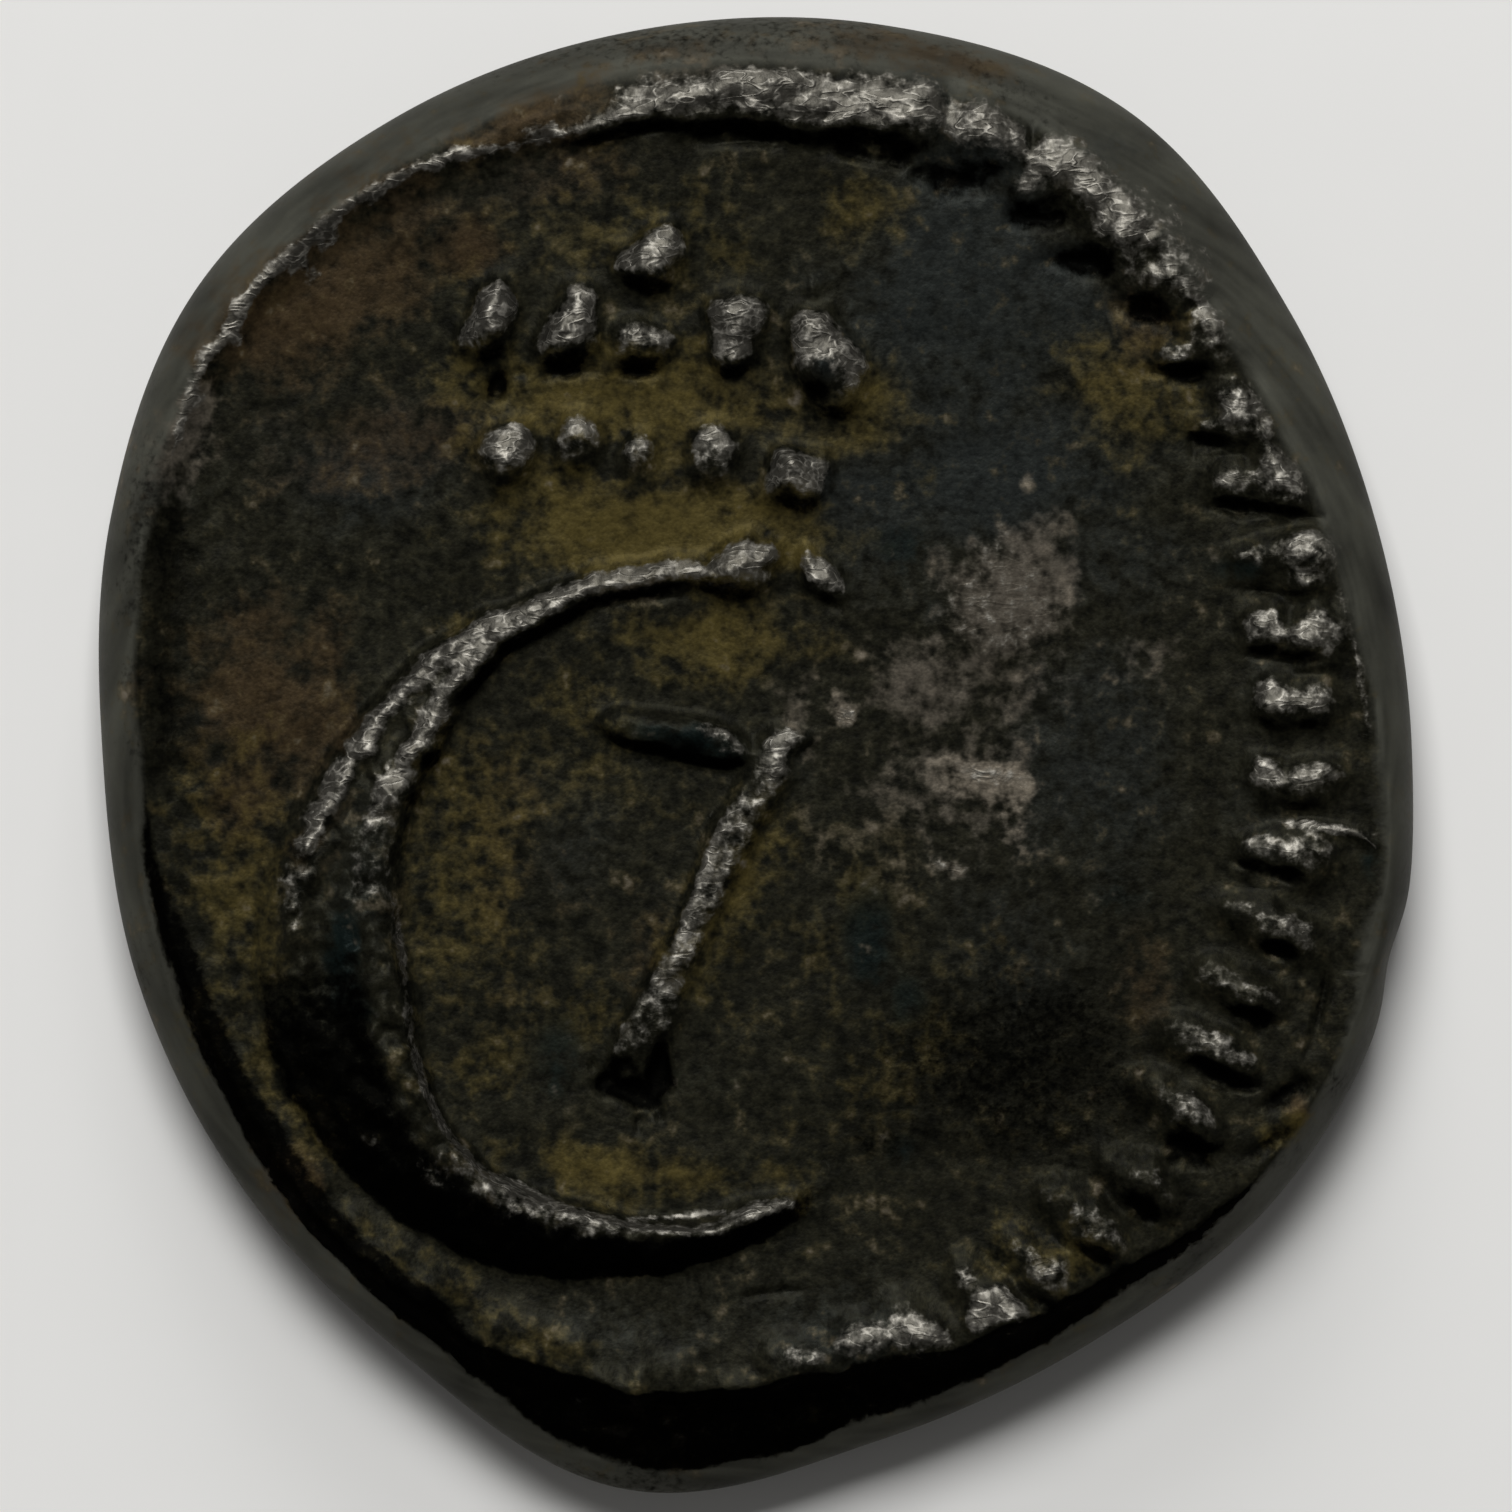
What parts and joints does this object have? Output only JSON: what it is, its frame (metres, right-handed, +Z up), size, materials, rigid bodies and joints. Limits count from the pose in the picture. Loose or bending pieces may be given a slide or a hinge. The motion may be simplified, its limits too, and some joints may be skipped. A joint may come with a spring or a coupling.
{
  "type": "silver coin",
  "caption": "Small hammered silver coin of ancient make with an irregular flan, a crescent, strokes, pellets and a border of teeth.",
  "frame": {"origin": "middle of the coin's outline box, on the plane of the worn high points of the reverse that it rests on", "axes": "+Z up out of the obverse, +Y to the top of the obverse design, along the coin's longest way across, +X to its right"},
  "size_m": [0.0124, 0.014, 0.0019],
  "materials": {
    "toned_silver": "struck silver with black toning, ochre deposits in the recesses and worn grey high points"
  },
  "bodies": {
    "root": {"silver_coin": "toned_silver"}
  },
  "joints": []
}
